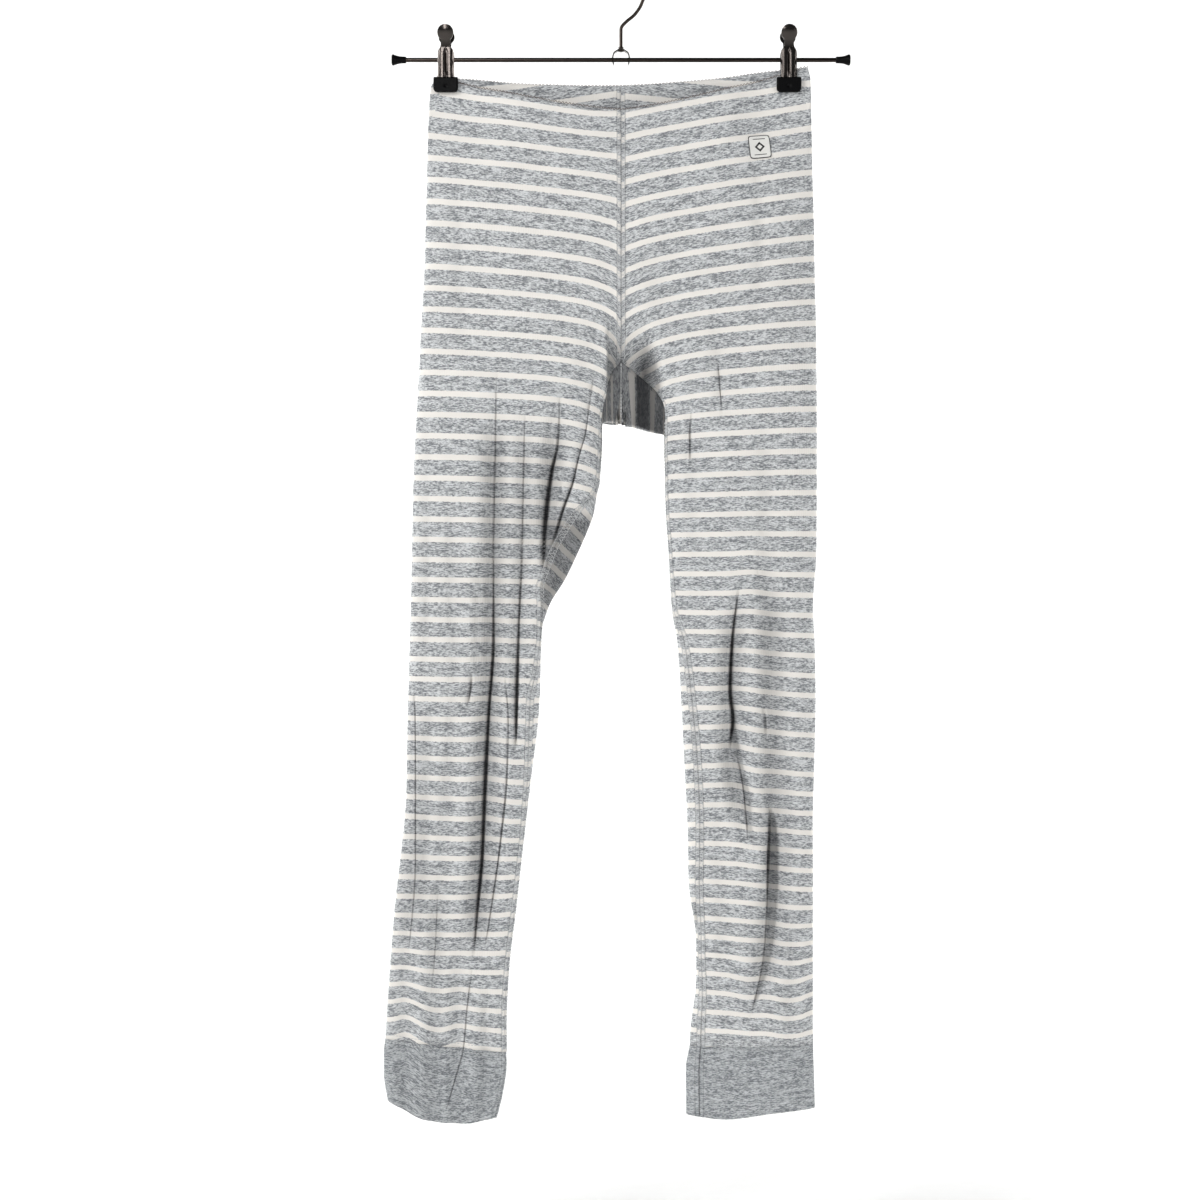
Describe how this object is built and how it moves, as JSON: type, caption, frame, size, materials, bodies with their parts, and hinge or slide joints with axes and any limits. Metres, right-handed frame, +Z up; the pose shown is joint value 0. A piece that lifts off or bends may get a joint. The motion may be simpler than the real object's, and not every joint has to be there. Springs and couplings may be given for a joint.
{
  "type": "leggings on a clip hanger",
  "caption": "Adult cotton jersey leggings with cream stripes on heather grey and plain grey cuffs, hanging by the waist from a chromed clip hanger.",
  "frame": {"origin": "the point inside the top of the hook's loop where the hanger bears on its rail", "axes": "+Z up along the hanging garment, -Y out of the garment's front, +X to the viewer's right"},
  "size_m": [0.4197, 0.051, 1.048],
  "materials": {
    "striped_jersey": "heather grey single jersey with cream stripes",
    "cuff_jersey": "plain heather grey rib",
    "woven_label": "white woven tape",
    "chrome": "bright chromed steel",
    "dark_chrome": "polished steel wire and rod",
    "black_rubber": "moulded black rubber"
  },
  "bodies": {
    "root": {"leg_left": "striped_jersey", "leg_right": "striped_jersey", "cuff_left": "cuff_jersey", "cuff_right": "cuff_jersey", "label": "woven_label", "hanger_rod": "dark_chrome", "hook": "dark_chrome", "hook_bracket": "chrome", "rod_cap_left": "black_rubber", "rod_cap_right": "black_rubber", "clip_left_front": "chrome", "clip_left_back": "chrome", "clip_left_spring": "chrome", "clip_left_tip_front": "black_rubber", "clip_left_tip_back": "black_rubber", "clip_right_front": "chrome", "clip_right_back": "chrome", "clip_right_spring": "chrome", "clip_right_tip_front": "black_rubber", "clip_right_tip_back": "black_rubber"}
  },
  "joints": []
}
